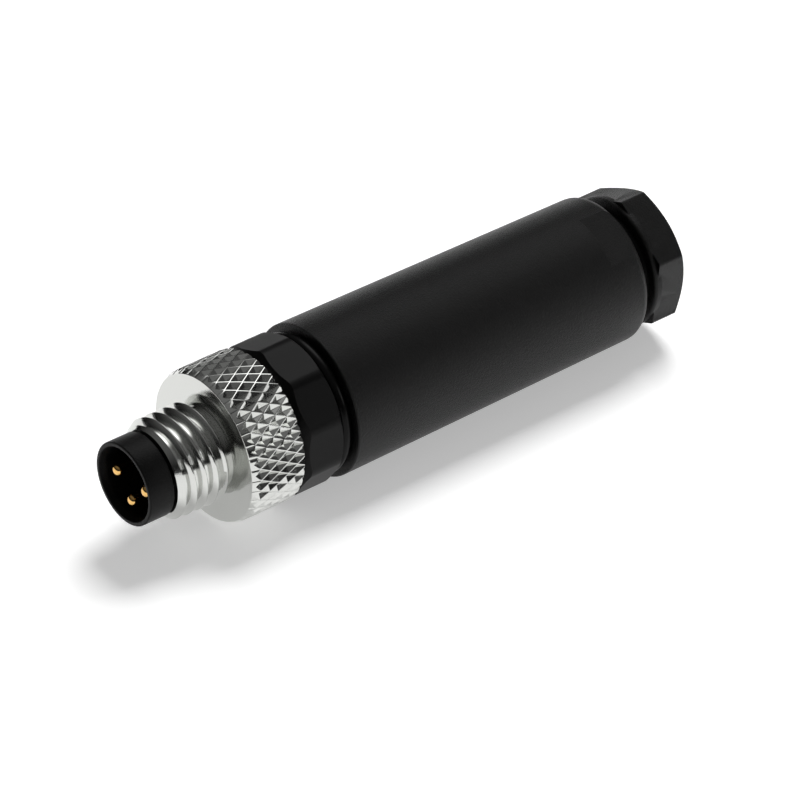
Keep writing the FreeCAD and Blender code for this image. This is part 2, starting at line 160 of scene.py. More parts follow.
def chain(name, corners):
    """Open chain of edges in the XZ plane, one vertex extruded from corner to corner. It is left in
    edit mode."""
    bpy.ops.object.select_all(action="DESELECT")
    start = (corners[0][0] * MM, 0, corners[0][1] * MM)
    bpy.ops.mesh.primitive_plane_add(size=MM, location=start)
    piece = bpy.context.object
    piece.name = name
    bpy.ops.object.transform_apply(location=True, rotation=True, scale=True)
    bpy.ops.object.mode_set(mode="EDIT")
    bpy.ops.mesh.select_all(action="SELECT")
    bpy.ops.mesh.merge(type="CENTER")
    for here, there in zip(corners, corners[1:]):
        step = ((there[0] - here[0]) * MM, 0, (there[1] - here[1]) * MM)
        bpy.ops.mesh.extrude_region_move(TRANSFORM_OT_translate={"value": step})
    return piece


def select_corner(piece, corner):
    """In edit mode, selects the vertex at a corner of an outline and nothing else."""
    place = Vector((corner[0], 0, corner[1]))
    bpy.ops.mesh.select_all(action="DESELECT")
    mesh = bmesh.from_edit_mesh(piece.data)
    for vertex in mesh.verts:
        vertex.select = (vertex.co / MM - place).length < SAME_PLACE
    mesh.select_flush(True)
    bmesh.update_edit_mesh(piece.data)


def outline(name, corners):
    """Closed outline in the XZ plane. A corner is (radius, height) or (radius, height, rounding), in
    millimetres."""
    piece = chain(name, corners + corners[:1])
    bpy.ops.mesh.select_all(action="SELECT")
    bpy.ops.mesh.remove_doubles(threshold=WELD_DISTANCE * MM)
    for corner in corners:
        if len(corner) > 2:
            select_corner(piece, corner)
            bpy.ops.mesh.bevel(offset=corner[2] * MM, segments=ROUND_SEGMENTS, affect="VERTICES")
    bpy.ops.object.mode_set(mode="OBJECT")
    return piece


def pick(piece):
    """Selects one piece alone and makes it the active one."""
    bpy.ops.object.select_all(action="DESELECT")
    piece.select_set(True)
    bpy.context.view_layer.objects.active = piece


def apply_modifier(piece, kind, **settings):
    """Adds a modifier with its settings and applies it."""
    pick(piece)
    modifier = piece.modifiers.new(kind, kind)
    for name, value in settings.items():
        setattr(modifier, name, value)
    bpy.ops.object.modifier_apply(modifier=modifier.name)


def tidy_mesh(piece):
    """Joins the vertices of a seam and turns all faces outwards."""
    pick(piece)
    bpy.ops.object.mode_set(mode="EDIT")
    bpy.ops.mesh.select_all(action="SELECT")
    bpy.ops.mesh.remove_doubles(threshold=WELD_DISTANCE * MM)
    bpy.ops.mesh.normals_make_consistent(inside=False)
    bpy.ops.object.mode_set(mode="OBJECT")


def turned(name, corners, sides=BODY_SIDES):
    """Solid of revolution about Z from its outline."""
    piece = outline(name, corners)
    apply_modifier(piece, "SCREW", axis="Z", steps=sides, render_steps=sides, use_merge_vertices=False)
    tidy_mesh(piece)
    return piece


def combine(piece, tool, operation):
    """Cuts a tool out of a piece, joins it on or keeps what both share, and removes the tool."""
    apply_modifier(piece, "BOOLEAN", object=tool, operation=operation, solver="EXACT")
    bpy.data.objects.remove(tool)


def finish_piece(piece, node, material, angle=30.0):
    """Shading, material and the place of a piece in the frame, where it stands for its CAD node."""
    pick(piece)
    bpy.ops.object.shade_smooth_by_angle(angle=math.radians(angle))
    piece.data.materials.clear()
    piece.data.materials.append(material)
    body = frame["nodes"][node]["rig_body"]
    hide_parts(node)
    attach(piece, body)


def dress(node, material):
    """Gives a CAD node whose shape is right its material."""
    for slot in frame["nodes"][node].material_slots:
        slot.material = material


# Hard gold over nickel: a warm, smooth metal whose plating is faintly uneven.
gold_plate, tree, shader = new_material("gold_plated_brass", "#DDB26E", 0.12, metallic=1.0)
add_relief(tree, shader, round_the_axis(tree), width=0.111, depth=0.004, strength=0.15, detail=2.0)

for node, azimuth in PIN_AZIMUTHS.items():
    tip = top_of(node)
    rear = bottom_of(node)
    floor_of_cup = tip - PIN_LENGTH
    contact = turned(node + "_turned", [
        (0, rear + WIRE_BORE_DEPTH),
        (WIRE_BORE_RADIUS, rear + WIRE_BORE_DEPTH),
        (WIRE_BORE_RADIUS, rear),
        (TERMINAL_RADIUS, rear, TERMINAL_EDGE_ROUND),
        (TERMINAL_RADIUS, rear + TERMINAL_LENGTH, TERMINAL_EDGE_ROUND),
        (PIN_BODY_RADIUS, rear + TERMINAL_LENGTH),
        (PIN_BODY_RADIUS, floor_of_cup - PIN_RADIUS),
        (PIN_RADIUS, floor_of_cup),
        (PIN_RADIUS, tip, PIN_TIP_ROUND),
        (0, tip),
    ], PIN_SIDES)
    turn = math.radians(azimuth)
    bpy.ops.transform.translate(value=(
        PIN_CIRCLE_RADIUS * MM * math.cos(turn),
        PIN_CIRCLE_RADIUS * MM * math.sin(turn),
        0,
    ))
    bpy.ops.object.transform_apply(location=True, rotation=True, scale=True)
    reach = PIN_CIRCLE_RADIUS + TERMINAL_RADIUS
    bpy.ops.mesh.primitive_cylinder_add(
        vertices=PIN_SIDES,
        radius=SCREW_HOLE_RADIUS * MM,
        depth=TERMINAL_RADIUS * 2 * MM,
        location=(reach * MM * math.cos(turn), reach * MM * math.sin(turn), (rear + SCREW_HOLE_HEIGHT) * MM),
        rotation=(0, math.pi / 2, turn),
    )
    combine(contact, bpy.context.object, "DIFFERENCE")
    finish_piece(contact, node, gold_plate, PIN_SHADING_ANGLE)


# Contact carrier: one moulding of black polyamide. Its nose is the open cup round the pins, and its
# shank runs back through the coupling screw and is locked in the collar by the spring ring.
NOSE_LENGTH = 2.2
NOSE_RADIUS = 3.35
NOSE_EDGE_ROUND = 0.12
NOSE_STEP_ROUND = 0.08
RIM_INNER_RADIUS = 3.02
RIM_INNER_ROUND = 0.05
CUP_RADIUS = 2.85
CUP_DEPTH = 5.6
CUP_FLOOR_ROUND = 0.2
CUP_LEAD_IN = 0.6
LEAD_IN_ROUND = 0.1
SHANK_RADIUS = 2.95
SHANK_END_ROUND = 0.1
SHANK_FLAT_DISTANCE = 2.5
SHANK_FLAT_AZIMUTH = 318.6
SHANK_FLAT_TOP = 35.95
CLIP_GROOVE_RADIUS = 2.55
GROOVE_FIT = 0.05
CARRIER_SEAL_GROOVE_RADIUS = 2.5
CUTTER_DEPTH = 2.0
OVERSHOOT = 1.0


def cut_flat(piece, azimuth, distance, width, low, high):
    """Cuts a flat beside the Z axis, at a distance from it and between two heights."""
    turn = math.radians(azimuth)
    bpy.ops.mesh.primitive_cube_add(size=1)
    cutter = bpy.context.object
    cutter.scale = (CUTTER_DEPTH * MM, width * MM, (high - low) * MM)
    cutter.rotation_euler = (0, 0, turn)
    cutter.location = (
        (distance + CUTTER_DEPTH / 2) * MM * math.cos(turn),
        (distance + CUTTER_DEPTH / 2) * MM * math.sin(turn),
        (low + high) / 2 * MM,
    )
    combine(piece, cutter, "DIFFERENCE")


# Polyamide 66 from an eroded mould: dull, with a sheen that breaks up into specks. The real grain
# is about 0.05 mm wide, too fine to show, so it is drawn coarser.
carrier_black, tree, shader = new_material("moulded_polyamide_smooth", "#080808", 0.45, specular=0.12)
place = add_node(tree, "ShaderNodeTexCoord")
add_relief(tree, shader, place.outputs["Object"], width=0.12, depth=0.03)

tip = top_of("contact_carrier")
carrier_end = bottom_of("contact_carrier")
clip_bottom = bottom_of("retaining_ring") - GROOVE_FIT
clip_top = top_of("retaining_ring") + GROOVE_FIT
seal_bottom = bottom_of("carrier_seal") - GROOVE_FIT
seal_top = top_of("carrier_seal") + GROOVE_FIT
carrier = turned("contact_carrier_moulding", [
    (0, carrier_end),
    (SHANK_RADIUS, carrier_end, SHANK_END_ROUND),
    (SHANK_RADIUS, clip_bottom),
    (CLIP_GROOVE_RADIUS, clip_bottom),
    (CLIP_GROOVE_RADIUS, clip_top),
    (SHANK_RADIUS, clip_top),
    (SHANK_RADIUS, seal_bottom),
    (CARRIER_SEAL_GROOVE_RADIUS, seal_bottom),
    (CARRIER_SEAL_GROOVE_RADIUS, seal_top),
    (SHANK_RADIUS, seal_top),
    (SHANK_RADIUS, tip - NOSE_LENGTH),
    (NOSE_RADIUS, tip - NOSE_LENGTH, NOSE_STEP_ROUND),
    (NOSE_RADIUS, tip, NOSE_EDGE_ROUND),
    (RIM_INNER_RADIUS, tip, RIM_INNER_ROUND),
    (CUP_RADIUS, tip - CUP_LEAD_IN, LEAD_IN_ROUND),
    (CUP_RADIUS, tip - CUP_DEPTH, CUP_FLOOR_ROUND),
    (0, tip - CUP_DEPTH),
])
cut_flat(
    carrier, SHANK_FLAT_AZIMUTH, SHANK_FLAT_DISTANCE, 2 * SHANK_RADIUS, carrier_end - OVERSHOOT,
    SHANK_FLAT_TOP,
)
finish_piece(carrier, "contact_carrier", carrier_black)


# Coupling screw: turned brass with a rolled diamond knurl and an M8x1 thread, nickel plated. It
# spins freely on the collar's boss, and its bright shoulder stops against the socket.
SCREW_THREAD_RADIUS = 4.0
SCREW_THREAD_ROOT = 3.42
SCREW_THREAD_PITCH = 1.0
SCREW_THREAD_PHASE = 0.13
SCREW_LEAD_IN_RADIUS = 3.4
SCREW_RELIEF_RADIUS = 3.35
SCREW_THREAD_LENGTH = 4.15
SHOULDER_HEIGHT = 4.85
SHOULDER_RADIUS = 5.9
SHOULDER_CHAMFER = 0.55
SHOULDER_EDGE_ROUND = 0.06
KNURL_RADIUS = 6.12
KNURL_DEPTH = 0.3
KNURL_RIDGE_HALF_WIDTH = 0.025
KNURL_DIAMONDS = 40
KNURL_ROWS = 7
KNURL_ANGLE = 30.0
KNURL_AZIMUTH = 0.33
KNURL_FIRST_ROW = 0.175
REAR_CHAMFER = 0.12
COUNTERBORE_RADIUS = 4.25
COUNTERBORE_DEPTH = 3.7
SCREW_BORE_RADIUS = 3.0
PIT_REACH = 0.1
CREST_SPARE = 0.05
SCREW_SIDES = 160
BORE_SIDES = 96
SCREW_SHADING_ANGLE = 35.0


def threaded_rod(name, crest, root, pitch, phase, blank, sides):
    """Rod with a right-hand 60 degree thread, turned down to the outline of its blank."""
    # The crest is an eighth of the pitch wide, and its corners are broken by a third of that.
    flank = (crest - root) / math.tan(math.radians(60))
    flat = pitch / 8
    soft = flat / 3
    lowest = min(corner[1] for corner in blank) - 2 * pitch + phase
    turns = math.ceil((max(corner[1] for corner in blank) - lowest) / pitch) + 1
    half_gap = (pitch - 2 * flank - flat) / 2
    profile = [
        (root, 0),
        (root, half_gap),
        (crest - soft, half_gap + flank * (1 - soft / (crest - root))),
        (crest, half_gap + flank + soft),
        (crest, half_gap + flank + flat - soft),
        (crest - soft, half_gap + flank + flat + flank * soft / (crest - root)),
        (root, half_gap + 2 * flank + flat),
        (root, pitch),
    ]
    rod = chain(name, [(radius, lowest + height) for radius, height in profile])
    bpy.ops.object.mode_set(mode="OBJECT")
    apply_modifier(
        rod, "SCREW", axis="Z", steps=sides, render_steps=sides, iterations=turns,
        screw_offset=pitch * MM, use_merge_vertices=False,
    )
    bpy.ops.object.mode_set(mode="EDIT")
    bpy.ops.mesh.select_all(action="SELECT")
    bpy.ops.mesh.remove_doubles(threshold=WELD_DISTANCE * MM)
    # Each open end is closed by drawing its rim to a point, outside the blank.
    middle = lowest + turns * pitch / 2
    for above in (False, True):
        bpy.ops.mesh.select_all(action="DESELECT")
        bpy.ops.mesh.select_non_manifold(extend=False)
        mesh = bmesh.from_edit_mesh(rod.data)
        for vertex in mesh.verts:
            if vertex.select and (vertex.co.z / MM > middle) != above:
                vertex.select = False
        mesh.select_flush(False)
        bmesh.update_edit_mesh(rod.data)
        bpy.ops.mesh.extrude_region_move(TRANSFORM_OT_translate={"value": (0, 0, 0)})
        bpy.ops.mesh.merge(type="CENTER")
    bpy.ops.object.mode_set(mode="OBJECT")
    tidy_mesh(rod)
    combine(rod, turned(name + "_blank", blank, sides), "INTERSECT")
    return rod


# Bright nickel plate on turned brass: a clear reflection, drawn out a little by the turning marks.
# Real ones are about 0.02 mm apart, too fine to show, so they are drawn wider.
nickel_plate, tree, shader = new_material("nickel_plated_brass", "#C6C7C4", 0.13, metallic=1.0)
add_relief(tree, shader, round_the_axis(tree), width=0.05, depth=0.003, strength=0.6)

screw_front = top_of("coupling_screw")
screw_rear = bottom_of("coupling_screw")
shoulder = screw_rear + SHOULDER_HEIGHT
knurl_front = shoulder - SHOULDER_CHAMFER
thread_rear = screw_front - SCREW_THREAD_LENGTH
chamfer = SCREW_THREAD_RADIUS - SCREW_LEAD_IN_RADIUS
screw_thread = threaded_rod(
    "screw_thread", SCREW_THREAD_RADIUS, SCREW_THREAD_ROOT, SCREW_THREAD_PITCH, SCREW_THREAD_PHASE,
    [
        (0, shoulder - chamfer),
        (SCREW_RELIEF_RADIUS, shoulder - chamfer),
        (SCREW_RELIEF_RADIUS, thread_rear - chamfer),
        (SCREW_THREAD_RADIUS + CREST_SPARE, thread_rear + CREST_SPARE),
        (SCREW_THREAD_RADIUS + CREST_SPARE, screw_front - chamfer - CREST_SPARE),
        (SCREW_LEAD_IN_RADIUS, screw_front),
        (0, screw_front),
    ], SCREW_SIDES,
)
screw = turned("coupling_screw_turned", [
    (0, screw_rear),
    (KNURL_RADIUS - REAR_CHAMFER, screw_rear),
    (KNURL_RADIUS, screw_rear + REAR_CHAMFER),
    (KNURL_RADIUS, knurl_front),
    (SHOULDER_RADIUS, shoulder, SHOULDER_EDGE_ROUND),
    (0, shoulder),
], SCREW_SIDES)
combine(screw, screw_thread, "UNION")
counterbore_end = screw_rear + COUNTERBORE_DEPTH
combine(screw, turned("screw_bore", [
    (0, screw_rear - OVERSHOOT),
    (COUNTERBORE_RADIUS, screw_rear - OVERSHOOT),
    (COUNTERBORE_RADIUS, counterbore_end),
    (SCREW_BORE_RADIUS, counterbore_end),
    (SCREW_BORE_RADIUS, screw_front + OVERSHOOT),
    (0, screw_front + OVERSHOOT),
], BORE_SIDES), "DIFFERENCE")

# A pit between two crossing pairs of ridges is a four-sided cone, drawn out a little beyond the
# crests. It is repeated round the knurl and then row by row, half a diamond further round each
# time, and all the pits are cut out at once.
half_width = math.pi * KNURL_RADIUS / KNURL_DIAMONDS
half_height = half_width / math.tan(math.radians(KNURL_ANGLE))
growth = 1 + PIT_REACH / KNURL_DEPTH
bpy.ops.mesh.primitive_cone_add(
    vertices=4,
    radius1=(half_width - KNURL_RIDGE_HALF_WIDTH) * growth * MM,
    depth=(KNURL_DEPTH + PIT_REACH) * MM,
    location=((KNURL_RADIUS - KNURL_DEPTH + (KNURL_DEPTH + PIT_REACH) / 2) * MM, 0, 0),
    rotation=(0, -math.pi / 2, 0),
)
pits = bpy.context.object
pits.scale = (half_height / half_width, 1, 1)
bpy.ops.object.transform_apply(location=True, rotation=True, scale=True)
next_round = bpy.data.objects.new("next_diamond_round", None)
next_round.rotation_euler = (0, 0, 2 * math.pi / KNURL_DIAMONDS)
next_row = bpy.data.objects.new("next_row", None)
next_row.rotation_euler = (0, 0, math.pi / KNURL_DIAMONDS)
next_row.location = (0, 0, -half_height * MM)
for helper in (next_round, next_row):
    bpy.context.scene.collection.objects.link(helper)
bpy.context.view_layer.update()
apply_modifier(
    pits, "ARRAY", count=KNURL_DIAMONDS, use_relative_offset=False, use_object_offset=True,
    offset_object=next_round,
)
apply_modifier(
    pits, "ARRAY", count=KNURL_ROWS, use_relative_offset=False, use_object_offset=True,
    offset_object=next_row,
)
for helper in (next_round, next_row):
    bpy.data.objects.remove(helper)
pits.rotation_euler = (0, 0, math.radians(KNURL_AZIMUTH) - math.pi / KNURL_DIAMONDS)
pits.location = (0, 0, (knurl_front - KNURL_FIRST_ROW + half_height) * MM)
combine(screw, pits, "DIFFERENCE")
finish_piece(screw, "coupling_screw", nickel_plate, SCREW_SHADING_ANGLE)


# Housing collar: black polyamide moulding. A ten-sided grip sits between the knurl and the seal
# ring, a boss in front carries the coupling screw, and a threaded neck enters the sleeve.
COLLAR_SIDES = 10
COLLAR_AZIMUTH = -4.0
COLLAR_HALF_FLATS = 5.825
COLLAR_LENGTH = 3.75
COLLAR_RIDGE_ROUND = 0.45
COLLAR_EDGE_ROUND = 0.04
COLLAR_SHARP_ANGLE = 40.0
COLLAR_FRONT_RADIUS = 5.3
COLLAR_REAR_RADIUS = 5.8
COLLAR_REAR_ROUND = 0.08
BOSS_RADIUS = 4.2
BOSS_LENGTH = 3.4
BOSS_FRONT_ROUND = 0.4
POCKET_RADIUS = 3.95
POCKET_DEPTH = 4.7
SEAL_LAND_RADIUS = 4.55
SEAL_LAND_LENGTH = 1.35
BODY_THREAD_RADIUS = 4.95
BODY_THREAD_ROOT = 4.6
BODY_THREAD_PITCH = 0.75
BODY_THREAD_LEAD_IN = 0.4
NECK_THREAD_PHASE = 0.0
NECK_SIDES = 128
JOIN_OVERLAP = 0.3


def prism(name, sides, half_flats, low, length, azimuth, ridge_round):
    """Upright prism with rounded ridges, from half its width across flats."""
    bpy.ops.mesh.primitive_cylinder_add(
        vertices=sides,
        radius=half_flats / math.cos(math.pi / sides) * MM,
        depth=length * MM,
        location=(0, 0, (low + length / 2) * MM),
        rotation=(0, 0, math.radians(azimuth) - math.pi / 2),
    )
    piece = bpy.context.object
    piece.name = name
    bpy.ops.object.transform_apply(location=True, rotation=True, scale=True)
    bpy.ops.object.mode_set(mode="EDIT")
    bpy.ops.mesh.select_mode(type="EDGE")
    bpy.ops.mesh.select_all(action="DESELECT")
    mesh = bmesh.from_edit_mesh(piece.data)
    for edge in mesh.edges:
        if abs(edge.verts[0].co.z - edge.verts[1].co.z) > MM:
            edge.select = True
    bmesh.update_edit_mesh(piece.data)
    bpy.ops.mesh.bevel(offset=ridge_round * MM, segments=ROUND_SEGMENTS, affect="EDGES")
    bpy.ops.mesh.select_mode(type="VERT")
    bpy.ops.object.mode_set(mode="OBJECT")
    return piece


def break_edges(piece, rounding, sharp_angle):
    """Rounds the edges where a piece turns by more than an angle in degrees."""
    apply_modifier(
        piece, "BEVEL", width=rounding * MM, segments=2, limit_method="ANGLE",
        angle_limit=math.radians(sharp_angle),
    )


# The same polyamide from a polished mould: darker, with a soft gloss and a faint waviness.
collar_black, tree, shader = new_material("moulded_polyamide_glossy", "#070707", 0.38, specular=0.11)
place = add_node(tree, "ShaderNodeTexCoord")
add_relief(tree, shader, place.outputs["Object"], width=0.4, depth=0.02, strength=0.15, detail=4.0)

boss_front = top_of("housing_collar")
neck_end = bottom_of("housing_collar")
collar_front = boss_front - BOSS_LENGTH
collar_rear = collar_front - COLLAR_LENGTH
corner_radius = COLLAR_HALF_FLATS / math.cos(math.pi / COLLAR_SIDES)
collar = prism(
    "housing_collar_moulding", COLLAR_SIDES, COLLAR_HALF_FLATS, collar_rear, COLLAR_LENGTH, COLLAR_AZIMUTH,
    COLLAR_RIDGE_ROUND,
)
combine(collar, turned("collar_edges", [
    (0, collar_rear),
    (COLLAR_REAR_RADIUS, collar_rear, COLLAR_REAR_ROUND),
    (corner_radius, collar_rear + corner_radius - COLLAR_REAR_RADIUS),
    (corner_radius, collar_front - corner_radius + COLLAR_FRONT_RADIUS),
    (COLLAR_FRONT_RADIUS, collar_front),
    (0, collar_front),
]), "INTERSECT")
neck_top = collar_rear - SEAL_LAND_LENGTH
neck = threaded_rod(
    "collar_neck", BODY_THREAD_RADIUS, BODY_THREAD_ROOT, BODY_THREAD_PITCH, NECK_THREAD_PHASE,
    [
        (0, neck_end),
        (SEAL_LAND_RADIUS, neck_end),
        (BODY_THREAD_RADIUS + CREST_SPARE, neck_end + BODY_THREAD_LEAD_IN + CREST_SPARE),
        (BODY_THREAD_RADIUS + CREST_SPARE, neck_top - BODY_THREAD_LEAD_IN - CREST_SPARE),
        (SEAL_LAND_RADIUS, neck_top),
        (SEAL_LAND_RADIUS, collar_rear + JOIN_OVERLAP),
        (0, collar_rear + JOIN_OVERLAP),
    ], NECK_SIDES,
)
combine(collar, neck, "UNION")
combine(collar, turned("collar_boss", [
    (0, collar_front - JOIN_OVERLAP),
    (BOSS_RADIUS, collar_front - JOIN_OVERLAP),
    (BOSS_RADIUS, boss_front, BOSS_FRONT_ROUND),
    (0, boss_front),
], NECK_SIDES), "UNION")
web_rear = neck_end + POCKET_DEPTH
combine(collar, turned("collar_hollow", [
    (0, neck_end - OVERSHOOT),
    (POCKET_RADIUS, neck_end - OVERSHOOT),
    (POCKET_RADIUS, web_rear),
    (SCREW_BORE_RADIUS, web_rear),
    (SCREW_BORE_RADIUS, boss_front + OVERSHOOT),
    (0, boss_front + OVERSHOOT),
], BORE_SIDES), "DIFFERENCE")
break_edges(collar, COLLAR_EDGE_ROUND, COLLAR_SHARP_ANGLE)
finish_piece(collar, "housing_collar", collar_black)


# Seal ring: nitrile rubber cord of round section, squeezed between the collar and the sleeve. Its
# skin is smooth and picks up small bright points.
RING_SECTION = 1.1
RING_SECTION_SIDES = 32
RING_SHADING_ANGLE = 60.0

# Moulded nitrile rubber: black, with a damp gloss over a slight ripple.
rubber, tree, shader = new_material("nitrile_rubber", "#070707", 0.26, specular=0.1)
place = add_node(tree, "ShaderNodeTexCoord")
add_relief(tree, shader, place.outputs["Object"], width=0.5, depth=0.03, strength=0.3)

low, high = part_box("housing_seal")
bpy.ops.mesh.primitive_torus_add(
    major_segments=BODY_SIDES,
    minor_segments=RING_SECTION_SIDES,
    major_radius=high.x - RING_SECTION / 2 * MM,
    minor_radius=RING_SECTION / 2 * MM,
    location=(0, 0, (low.z + high.z) / 2),
)
seal_ring = bpy.context.object
seal_ring.name = "housing_seal_ring"
bpy.ops.object.transform_apply(location=True, rotation=True, scale=True)
finish_piece(seal_ring, "housing_seal", rubber, RING_SHADING_ANGLE)


# Sleeve: long shell of glass-filled polyamide, slightly tapered so that it leaves its mould, with
# two wrench flats at the rear. Eroded grain makes it dull.
SLEEVE_FRONT_RADIUS = 6.18
SLEEVE_REAR_RADIUS = 5.92
SLEEVE_REAR_ROUND = 0.75
SLEEVE_FRONT_ROUND = 0.15
SLEEVE_EDGE_ROUND = 0.07
SLEEVE_SHARP_ANGLE = 50.0
SLEEVE_BORE_RADIUS = 5.02
SLEEVE_BORE_ROUND = 0.1
SLEEVE_CAVITY_RADIUS = 4.7
SLEEVE_CHAMBER_RADIUS = 4.4
SLEEVE_WEB_BORE_RADIUS = 3.1
FRONT_THREAD_LENGTH = 5.6
REAR_THREAD_LENGTH = 6.5
WEB_REAR = 11.45
WEB_LENGTH = 1.1
WRENCH_FLAT_DISTANCE = 5.5
WRENCH_FLAT_LENGTH = 3.0
WRENCH_AZIMUTHS = (-71.0, 109.0)
FLAT_GUARD_DISTANCES = (0.12, 0.3)
SLEEVE_SIDES = 256
SLEEVE_SHADING_ANGLE = 18.0

# Glass-filled polyamide 66 from a deeply eroded mould: a dull black with a frosty sheen. The real
# grain is about 0.05 mm wide, too fine to show, so it is drawn coarser.
sleeve_black, tree, shader = new_material("moulded_polyamide_grained", "#0A0A0A", 0.4, specular=0.2)
place = add_node(tree, "ShaderNodeTexCoord")
add_relief(tree, shader, place.outputs["Object"], width=0.16, depth=0.06, detail=4.0, roughness=0.7)

# Two spare loops just ahead of the wrench flats keep the shading of the round barrel even there,
# and the shading angle is below the turn of the flats' long edges, so that those stay crisp.
sleeve_rear = bottom_of("sleeve")
sleeve_front = top_of("sleeve")
flat_end = sleeve_rear + WRENCH_FLAT_LENGTH
taper = (SLEEVE_FRONT_RADIUS - SLEEVE_REAR_RADIUS) / (sleeve_front - sleeve_rear)
flat_guards = [
    (SLEEVE_REAR_RADIUS + taper * (WRENCH_FLAT_LENGTH + ahead), flat_end + ahead)
    for ahead in FLAT_GUARD_DISTANCES
]
sleeve = turned("sleeve_moulding", [
    (SLEEVE_BORE_RADIUS, sleeve_rear, SLEEVE_BORE_ROUND),
    (SLEEVE_REAR_RADIUS, sleeve_rear, SLEEVE_REAR_ROUND),
    *flat_guards,
    (SLEEVE_FRONT_RADIUS, sleeve_front, SLEEVE_FRONT_ROUND),
    (SLEEVE_BORE_RADIUS, sleeve_front, SLEEVE_BORE_ROUND),
    (SLEEVE_BORE_RADIUS, sleeve_front - FRONT_THREAD_LENGTH),
    (SLEEVE_CAVITY_RADIUS, sleeve_front - FRONT_THREAD_LENGTH),
    (SLEEVE_CAVITY_RADIUS, sleeve_rear + WEB_REAR + WEB_LENGTH),
    (SLEEVE_WEB_BORE_RADIUS, sleeve_rear + WEB_REAR + WEB_LENGTH),
    (SLEEVE_WEB_BORE_RADIUS, sleeve_rear + WEB_REAR),
    (SLEEVE_CHAMBER_RADIUS, sleeve_rear + WEB_REAR),
    (SLEEVE_CHAMBER_RADIUS, sleeve_rear + REAR_THREAD_LENGTH),
    (SLEEVE_BORE_RADIUS, sleeve_rear + REAR_THREAD_LENGTH),
], SLEEVE_SIDES)
for azimuth in WRENCH_AZIMUTHS:
    cut_flat(
        sleeve, azimuth, WRENCH_FLAT_DISTANCE, 2 * SLEEVE_FRONT_RADIUS, sleeve_rear - OVERSHOOT, flat_end,
    )
break_edges(sleeve, SLEEVE_EDGE_ROUND, SLEEVE_SHARP_ANGLE)
finish_piece(sleeve, "sleeve", sleeve_black, SLEEVE_SHADING_ANGLE)


# Gland nut: moulded hexagon head with a chamfered rear, and a threaded shank that enters the sleeve
# and squeezes the cage and the seal onto the cable.
NUT_SIDES = 6
NUT_HALF_FLATS = 5.0
NUT_FACE_RADIUS = 4.85
NUT_HEX_LENGTH = 2.8
NUT_HEX_AZIMUTH = 12.0
NUT_CHAMFER_ANGLE = 30.0
NUT_RIDGE_ROUND = 0.15
NUT_EDGE_ROUND = 0.05
NUT_SHARP_ANGLE = 28.0
NUT_FLANGE_RADIUS = 5.3
NUT_FLANGE_LENGTH = 0.35
NUT_FLANGE_ROUND = 0.3
NUT_SHANK_OVERLAP = 0.2
NUT_THREAD_PHASE = 0.3
NUT_RELIEF_RADIUS = 4.45
NUT_RELIEF_LENGTH = 1.25
NUT_BORE_RADIUS = 2.7
NUT_MOUTH_CHAMFER = 0.6
NUT_MOUTH_ROUND = 0.3
NUT_RING_BORE_RADIUS = 4.15

nut_top = top_of("gland_nut")
corner_radius = NUT_HALF_FLATS / math.cos(math.pi / NUT_SIDES)
chamfer_rise = (corner_radius - NUT_FACE_RADIUS) * math.tan(math.radians(NUT_CHAMFER_ANGLE))
nut = prism(
    "gland_nut_moulding", NUT_SIDES, NUT_HALF_FLATS, 0, NUT_HEX_LENGTH, NUT_HEX_AZIMUTH, NUT_RIDGE_ROUND,
)
combine(nut, turned("nut_edges", [
    (0, 0),
    (NUT_FACE_RADIUS, 0),
    (corner_radius, chamfer_rise),
    (corner_radius, NUT_HEX_LENGTH),
    (0, NUT_HEX_LENGTH),
]), "INTERSECT")
flange_top = NUT_HEX_LENGTH + NUT_FLANGE_LENGTH
nut_seat = flange_top + NUT_RELIEF_LENGTH
combine(nut, threaded_rod(
    "nut_shank", BODY_THREAD_RADIUS, BODY_THREAD_ROOT, BODY_THREAD_PITCH, NUT_THREAD_PHASE,
    [
        (0, flange_top - NUT_SHANK_OVERLAP),
        (NUT_RELIEF_RADIUS, flange_top - NUT_SHANK_OVERLAP),
        (NUT_RELIEF_RADIUS, nut_seat),
        (BODY_THREAD_RADIUS + CREST_SPARE, nut_seat + BODY_THREAD_LEAD_IN + CREST_SPARE),
        (BODY_THREAD_RADIUS + CREST_SPARE, nut_top - BODY_THREAD_LEAD_IN - CREST_SPARE),
        (SEAL_LAND_RADIUS, nut_top),
        (0, nut_top),
    ], NECK_SIDES,
), "UNION")
combine(nut, turned("nut_flange", [
    (0, NUT_HEX_LENGTH - JOIN_OVERLAP),
    (NUT_FLANGE_RADIUS, NUT_HEX_LENGTH - JOIN_OVERLAP),
    (NUT_FLANGE_RADIUS, flange_top, NUT_FLANGE_ROUND),
    (0, flange_top),
], NECK_SIDES), "UNION")
combine(nut, turned("nut_hollow", [
    (0, -OVERSHOOT),
    (NUT_BORE_RADIUS + NUT_MOUTH_CHAMFER, -OVERSHOOT),
    (NUT_BORE_RADIUS + NUT_MOUTH_CHAMFER, 0),
    (NUT_BORE_RADIUS, NUT_MOUTH_CHAMFER, NUT_MOUTH_ROUND),
    (NUT_BORE_RADIUS, nut_seat),
    (NUT_RING_BORE_RADIUS, nut_seat),
    (NUT_RING_BORE_RADIUS, nut_top + OVERSHOOT),
    (0, nut_top + OVERSHOOT),
], BORE_SIDES), "DIFFERENCE")
break_edges(nut, NUT_EDGE_ROUND, NUT_SHARP_ANGLE)
finish_piece(nut, "gland_nut", sleeve_black)


# Pieces inside: their solids have the right shape, so they only get their real finishes. The cable
# seal and the carrier seal are rubber, the cage and the terminal block are polyamide.
OILY_ROUGHNESS = 0.28
DRY_ROUGHNESS = 0.42
OIL_PATCH_WIDTH = 0.5
for node in ("cable_seal", "carrier_seal"):
    dress(node, rubber)
for node in ("clamping_cage", "terminal_block"):
    dress(node, carrier_black)

